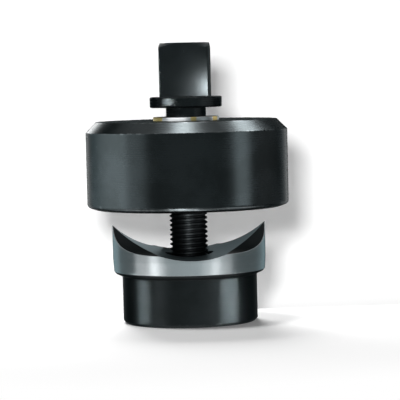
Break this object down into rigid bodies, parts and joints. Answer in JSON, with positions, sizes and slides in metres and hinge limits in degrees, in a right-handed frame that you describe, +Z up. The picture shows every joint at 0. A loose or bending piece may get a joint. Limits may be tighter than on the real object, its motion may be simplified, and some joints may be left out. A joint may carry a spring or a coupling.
{
  "type": "knockout punch",
  "caption": "Sheet-metal knockout punch: a square-headed draw stud pulls a two-pointed punch through the sheet into a thick blackened die ring.",
  "frame": {"origin": "centre of the punch's flat foot, which is the bottom of the whole tool", "axes": "+Z up along the draw stud, X through the punch's two tips"},
  "size_m": [0.107, 0.107, 0.1478],
  "materials": {
    "blackened_steel": "black oxide on turned steel, satin",
    "ground_and_blackened_steel": "ground bright on the cutting band and the saddle, black oxide elsewhere",
    "bearing_steel": "ground bearing steel with a warm yellow passivation",
    "cage_brass": "plain brass"
  },
  "bodies": {
    "punch_body": {"punch": "ground_and_blackened_steel"},
    "die_body": {"die": "blackened_steel", "bearing_lower_race": "bearing_steel"},
    "cage_body": {"bearing_cage": "cage_brass", "bearing_ball_01": "bearing_steel", "bearing_ball_02": "bearing_steel", "bearing_ball_03": "bearing_steel", "bearing_ball_04": "bearing_steel", "bearing_ball_05": "bearing_steel", "bearing_ball_06": "bearing_steel", "bearing_ball_07": "bearing_steel", "bearing_ball_08": "bearing_steel", "bearing_ball_09": "bearing_steel", "bearing_ball_10": "bearing_steel", "bearing_ball_11": "bearing_steel", "bearing_ball_12": "bearing_steel"},
    "upper_race_body": {"bearing_upper_race": "bearing_steel"},
    "stud_body": {"draw_stud": "blackened_steel"}
  },
  "joints": [
    {"name": "die_feed", "type": "slide", "parent": "punch_body", "child": "die_body", "axis": [0, 0, -1], "range_m": [0, 0.0277]},
    {"name": "stud_turn", "type": "hinge", "parent": "die_body", "child": "upper_race_body", "pos_m": [0, 0, 0.1072], "axis": [0, 0, -1], "range_deg": [0, 4680]},
    {"name": "cage_turn", "type": "hinge", "parent": "die_body", "child": "cage_body", "pos_m": [0, 0, 0.1036], "axis": [0, 0, -1], "range_deg": [0, 2340]},
    {"name": "collar_take_up", "type": "slide", "parent": "upper_race_body", "child": "stud_body", "axis": [0, 0, -1], "range_m": [0, 0.0048]}
  ],
  "couplings": [
    {"joint": "stud_turn", "follows": "die_feed", "rad_per_m": 2948.8},
    {"joint": "cage_turn", "follows": "die_feed", "rad_per_m": 1474.4},
    {"joint": "collar_take_up", "follows": "die_feed", "ratio": 0.17328}
  ]
}
